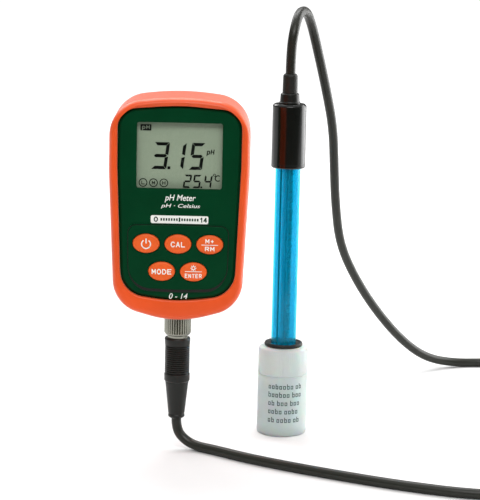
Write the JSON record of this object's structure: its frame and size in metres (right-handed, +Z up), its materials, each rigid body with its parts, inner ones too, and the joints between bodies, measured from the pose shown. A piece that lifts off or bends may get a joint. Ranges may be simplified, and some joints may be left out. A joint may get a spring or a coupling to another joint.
{
  "type": "digital ph meter",
  "caption": "Palm-sized digital pH meter in an orange rubber boot, with a cabled electrode that stands in its screw-capped storage bottle.",
  "frame": {"origin": "centre of the meter's flat back, where a palm or a holder carries it", "axes": "+X to the meter's right, +Y from the display to the back, +Z up along the meter, the plug and the electrode"},
  "size_m": [0.2529, 0.2544, 0.209],
  "materials": {
    "boot_rubber": "soft matt orange rubber",
    "green_case": "fine satin dark green moulding",
    "key_rubber": "satin orange silicone",
    "black_rubber": "matt black",
    "grey_plastic": "satin",
    "white_plastic": "satin",
    "black_plastic": "satin",
    "black_gloss": "polished black",
    "plug_plastic": "satin black",
    "cable_rubber": "satin grey-black",
    "board": "solder mask",
    "steel": "plain",
    "chrome": "nickel plated",
    "contact_brass": "gold plated",
    "cell_jacket": "printed sleeve left plain",
    "silver_wire": "drawn silver",
    "bottle_plastic": "translucent polyethylene",
    "solution": "clear liquid",
    "clear_window": "clear acrylic",
    "display_glass": "grey-green liquid crystal",
    "clear_glass": "polished glass",
    "blue_clear": "transparent blue plastic"
  },
  "bodies": {
    "meter": {"rubber_boot": "boot_rubber", "front_housing": "green_case", "rear_housing": "green_case", "housing_gasket": "black_rubber", "display_window": "clear_window", "lcd_glass": "display_glass", "lcd_frame": "grey_plastic", "backlight_panel": "white_plastic", "zebra_strips": "black_rubber", "main_board": "board", "board_chips": "black_plastic", "key_switches": "steel", "keypad_mat": "key_rubber", "keypad_panel": "green_case", "housing_screws": "steel", "probe_socket": "chrome", "socket_contacts": "contact_brass", "socket_insert": "black_plastic", "socket_nut": "chrome", "socket_seal": "black_rubber", "battery_cells": "cell_jacket", "battery_contacts": "steel", "battery_tray": "black_plastic", "plug_shell": "chrome", "plug_insert": "black_plastic", "plug_pins": "contact_brass", "plug_grip": "plug_plastic", "plug_collar": "plug_plastic", "strain_relief": "black_rubber", "cable_to_plug": "cable_rubber", "cable_coil": "cable_rubber", "coil_tie": "black_plastic", "cable_to_electrode": "cable_rubber", "storage_bottle": "bottle_plastic", "storage_solution": "solution"},
    "power_key": {"key_power": "key_rubber"},
    "calibrate_key": {"key_calibrate": "key_rubber"},
    "recall_key": {"key_recall": "key_rubber"},
    "mode_key": {"key_mode": "key_rubber"},
    "enter_key": {"key_enter": "key_rubber"},
    "plug_ring": {"coupling_ring": "chrome"},
    "door": {"battery_door": "green_case", "door_gasket": "black_rubber", "door_screws": "steel"},
    "electrode": {"cable_sleeve": "black_gloss", "cap_collar": "black_gloss", "electrode_cap": "black_gloss", "cap_seal": "black_rubber", "electrode_tube": "blue_clear", "bulb_guard": "blue_clear", "inner_stem": "clear_glass", "glass_bulb": "clear_glass", "signal_wire": "silver_wire", "reference_wire": "silver_wire", "temperature_sensor": "steel", "junction_plug": "white_plastic"},
    "lid": {"bottle_cap": "bottle_plastic", "seal_ring": "black_rubber"}
  },
  "joints": [
    {"name": "power_key_press", "type": "slide", "parent": "meter", "child": "power_key", "axis": [0, 1, 0], "range_m": [0, 0.0007], "stiffness_N_per_m": 2500},
    {"name": "calibrate_key_press", "type": "slide", "parent": "meter", "child": "calibrate_key", "axis": [0, 1, 0], "range_m": [0, 0.0007], "stiffness_N_per_m": 2500},
    {"name": "recall_key_press", "type": "slide", "parent": "meter", "child": "recall_key", "axis": [0, 1, 0], "range_m": [0, 0.0007], "stiffness_N_per_m": 2500},
    {"name": "mode_key_press", "type": "slide", "parent": "meter", "child": "mode_key", "axis": [0, 1, 0], "range_m": [0, 0.0007], "stiffness_N_per_m": 2500},
    {"name": "enter_key_press", "type": "slide", "parent": "meter", "child": "enter_key", "axis": [0, 1, 0], "range_m": [0, 0.0007], "stiffness_N_per_m": 2500},
    {"name": "plug_ring_turn", "type": "hinge", "parent": "meter", "child": "plug_ring", "pos_m": [0, -0.018, -0.0575], "axis": [0, 0, -1], "range_deg": [0, 540]},
    {"name": "door_lift_off", "type": "slide", "parent": "meter", "child": "door", "axis": [0, 1, 0], "range_m": [0, 0.02]},
    {"name": "lid_unscrew", "type": "hinge", "parent": "meter", "child": "lid", "pos_m": [0.0511, 0.017, -0.08], "axis": [0, 0, 1], "range_deg": [0, 540]},
    {"name": "electrode_lift", "type": "slide", "parent": "meter", "child": "electrode", "axis": [0, 0, 1], "range_m": [0, 0.055], "deforming": ["cable_to_electrode"]}
  ]
}
